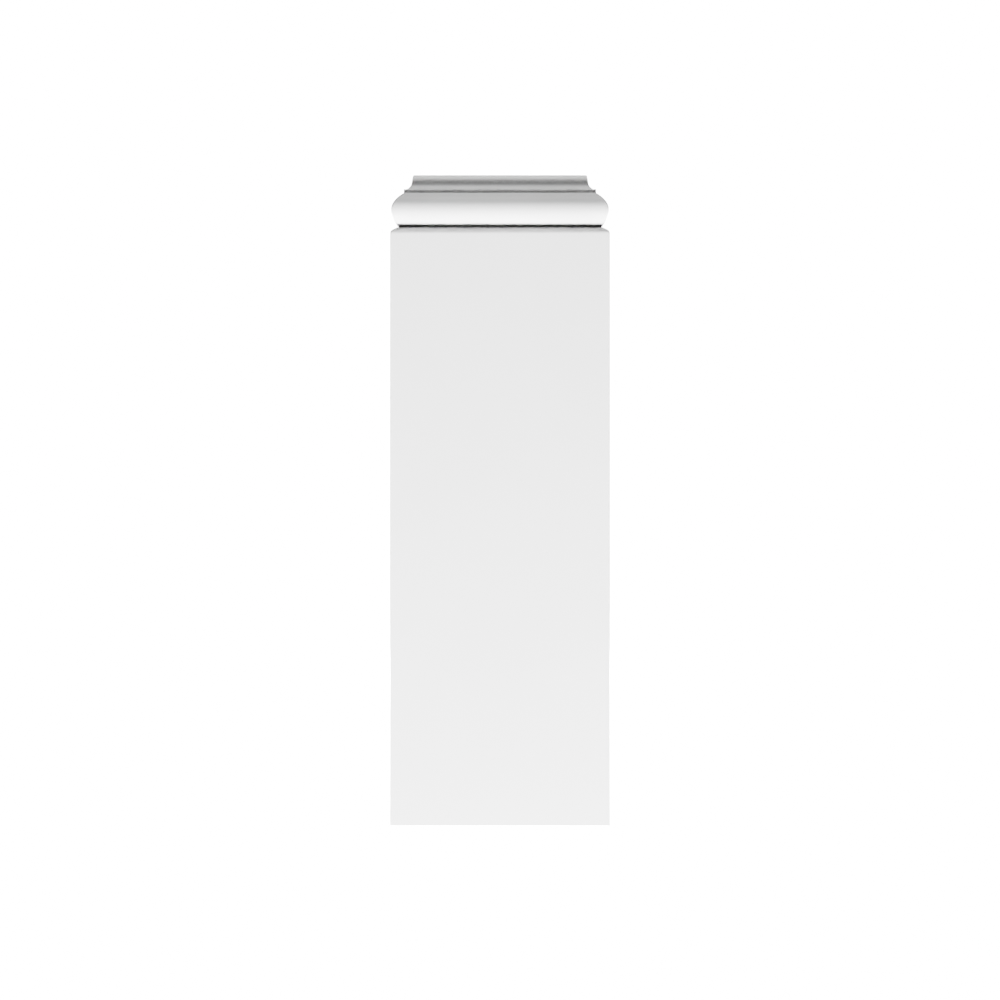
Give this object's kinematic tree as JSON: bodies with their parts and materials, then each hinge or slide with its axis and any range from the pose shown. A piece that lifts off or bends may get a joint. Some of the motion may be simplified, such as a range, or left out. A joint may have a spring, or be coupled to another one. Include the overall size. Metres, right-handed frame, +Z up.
{
  "type": "pilaster base",
  "caption": "Tall plinth block with a moulded top that a flat pilaster shaft stands on, its plain back fixed against a wall.",
  "frame": {"origin": "middle of the underside, which stands on the floor", "axes": "+X to the right across the front, +Y back towards the wall, +Z up; the moulded front faces -Y"},
  "size_m": [0.145, 0.04, 0.43],
  "materials": {
    "primed_polyurethane": "rigid polyurethane casting under a sprayed white primer, satin-matt, with a very fine orange-peel texture; the back is bare of primer build-up and rubbed flat for adhesive"
  },
  "bodies": {
    "root": {"pilaster_base": "primed_polyurethane"}
  },
  "joints": []
}
